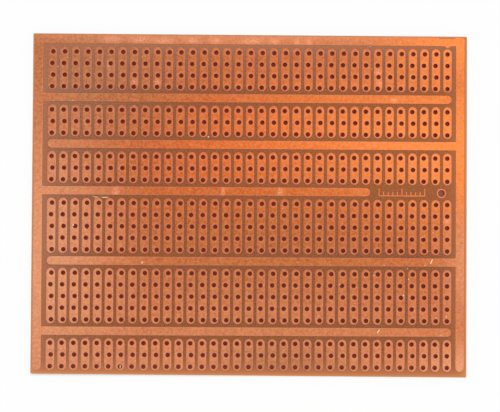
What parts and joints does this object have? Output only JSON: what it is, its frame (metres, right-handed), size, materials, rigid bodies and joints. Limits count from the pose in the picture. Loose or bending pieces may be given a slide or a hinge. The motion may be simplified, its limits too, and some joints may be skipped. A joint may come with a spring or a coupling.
{
  "type": "prototype board",
  "caption": "Flat rectangular strip board of phenolic laminate, copper foil on one face etched into short pierced strips, buses and an outer rail, with a grid of lead holes.",
  "frame": {"origin": "on the bare face, under the middle of the board's bounding rectangle", "axes": "+X along the long side, +Y towards the top rail, +Z out of the copper face"},
  "size_m": [0.095, 0.0746, 0.0015],
  "materials": {
    "phenolic_laminate": "cut and punched phenolic paper laminate, satin resin face",
    "copper_foil": "etched copper foil, satin under a thin coat of flux lacquer"
  },
  "bodies": {
    "root": {"laminate": "phenolic_laminate", "bus_frame": "copper_foil", "locating_ring": "copper_foil", "scale_marks": "copper_foil", "band_a_strips_1": "copper_foil", "band_a_strips_2": "copper_foil", "band_a_strips_3": "copper_foil", "band_a_strips_4": "copper_foil", "band_a_strips_5": "copper_foil", "band_a_strips_6": "copper_foil", "band_a_strips_7": "copper_foil", "band_b_strips_1": "copper_foil", "band_b_strips_2": "copper_foil", "band_b_strips_3": "copper_foil", "band_b_strips_4": "copper_foil", "band_b_strips_5": "copper_foil", "band_b_strips_6": "copper_foil", "band_b_strips_7": "copper_foil", "band_c_strips_1": "copper_foil", "band_c_strips_2": "copper_foil", "band_c_strips_3": "copper_foil", "band_c_strips_4": "copper_foil", "band_c_strips_5": "copper_foil", "band_c_strips_6": "copper_foil", "band_c_strips_7": "copper_foil", "band_d_strips_1": "copper_foil", "band_d_strips_2": "copper_foil", "band_d_strips_3": "copper_foil", "band_d_strips_4": "copper_foil", "band_d_strips_5": "copper_foil", "band_d_strips_6": "copper_foil", "band_d_strips_7": "copper_foil", "band_e_strips_1": "copper_foil", "band_e_strips_2": "copper_foil", "band_e_strips_3": "copper_foil", "band_e_strips_4": "copper_foil", "band_e_strips_5": "copper_foil", "band_e_strips_6": "copper_foil", "band_e_strips_7": "copper_foil", "band_f_strips_1": "copper_foil", "band_f_strips_2": "copper_foil", "band_f_strips_3": "copper_foil", "band_f_strips_4": "copper_foil", "band_f_strips_5": "copper_foil", "band_f_strips_6": "copper_foil", "band_f_strips_7": "copper_foil"}
  },
  "joints": []
}
